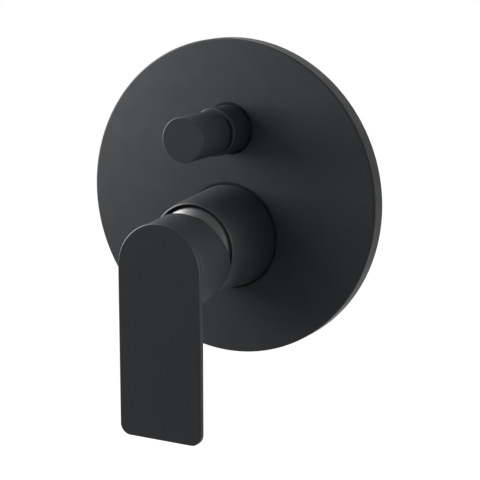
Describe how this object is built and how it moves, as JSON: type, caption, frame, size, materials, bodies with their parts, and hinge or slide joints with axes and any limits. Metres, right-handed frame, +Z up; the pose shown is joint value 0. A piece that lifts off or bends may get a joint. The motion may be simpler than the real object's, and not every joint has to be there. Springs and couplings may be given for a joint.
{
  "type": "concealed bath mixer tap",
  "caption": "Matt black concealed bath and shower mixer with a single lever, a pull-out diverter knob and a round cover plate.",
  "frame": {"origin": "centre of the cover plate's back, on the finished wall face", "axes": "+Y into the wall, +Z up, +X to the right as seen from the room; the lever and the knob stand out along -Y"},
  "size_m": [0.16, 0.1285, 0.1873],
  "materials": {
    "matt_black": "matt powder coat",
    "black_plastic": "matt",
    "black_rubber": "matt",
    "black_foam": "foam",
    "cast_brass": "as cast and machined",
    "grey_plastic": "moulded",
    "white_plastic": "moulded",
    "white_ceramic": "lapped",
    "steel": "stainless"
  },
  "bodies": {
    "fixed": {"cover_plate": "matt_black", "plate_gasket": "black_foam", "sleeve_grommet": "black_rubber", "collar_grommet": "black_rubber", "mixer_sleeve": "matt_black", "sleeve_o_ring": "black_rubber", "dome_ring": "black_plastic", "cartridge_nut": "cast_brass", "cartridge_housing": "grey_plastic", "cartridge_base": "grey_plastic", "base_seals": "black_rubber", "fixed_disc": "white_ceramic", "diverter_collar": "matt_black", "diverter_bonnet": "cast_brass", "spindle_o_rings": "black_rubber", "collar_o_ring": "black_rubber", "diverter_cage": "grey_plastic", "cage_o_rings": "black_rubber", "diverter_spring": "steel", "valve_body": "cast_brass"},
    "swivel": {"cartridge_rotor": "white_plastic", "stem_pin": "steel"},
    "lever_body": {"lever": "matt_black", "cartridge_stem": "cast_brass", "lever_grub_screw": "steel", "lever_plug": "black_plastic"},
    "slider": {"disc_carrier": "white_plastic", "moving_disc": "white_ceramic"},
    "knob_body": {"diverter_knob": "matt_black", "diverter_spindle": "cast_brass", "front_valve_washer": "black_rubber", "rear_valve_washer": "black_rubber", "spindle_nut": "cast_brass"}
  },
  "joints": [
    {"name": "temperature_swivel", "type": "hinge", "parent": "fixed", "child": "swivel", "pos_m": [0, -0.027, -0.0193], "axis": [0, 1, 0], "range_deg": [-45, 45]},
    {"name": "lever_lift", "type": "hinge", "parent": "swivel", "child": "lever_body", "pos_m": [0, -0.027, -0.0193], "axis": [-1, 0, 0], "range_deg": [0, 22]},
    {"name": "disc_slide", "type": "slide", "parent": "swivel", "child": "slider", "axis": [0, 0, -1], "range_m": [0, 0.0041]},
    {"name": "diverter_pull", "type": "slide", "parent": "fixed", "child": "knob_body", "axis": [0, -1, 0], "range_m": [0, 0.007], "stiffness_N_per_m": 300, "springref_m": -0.005, "deforming": ["diverter_spring"]}
  ],
  "couplings": [
    {"joint": "disc_slide", "follows": "lever_lift", "m_per_rad": 0.010478}
  ]
}
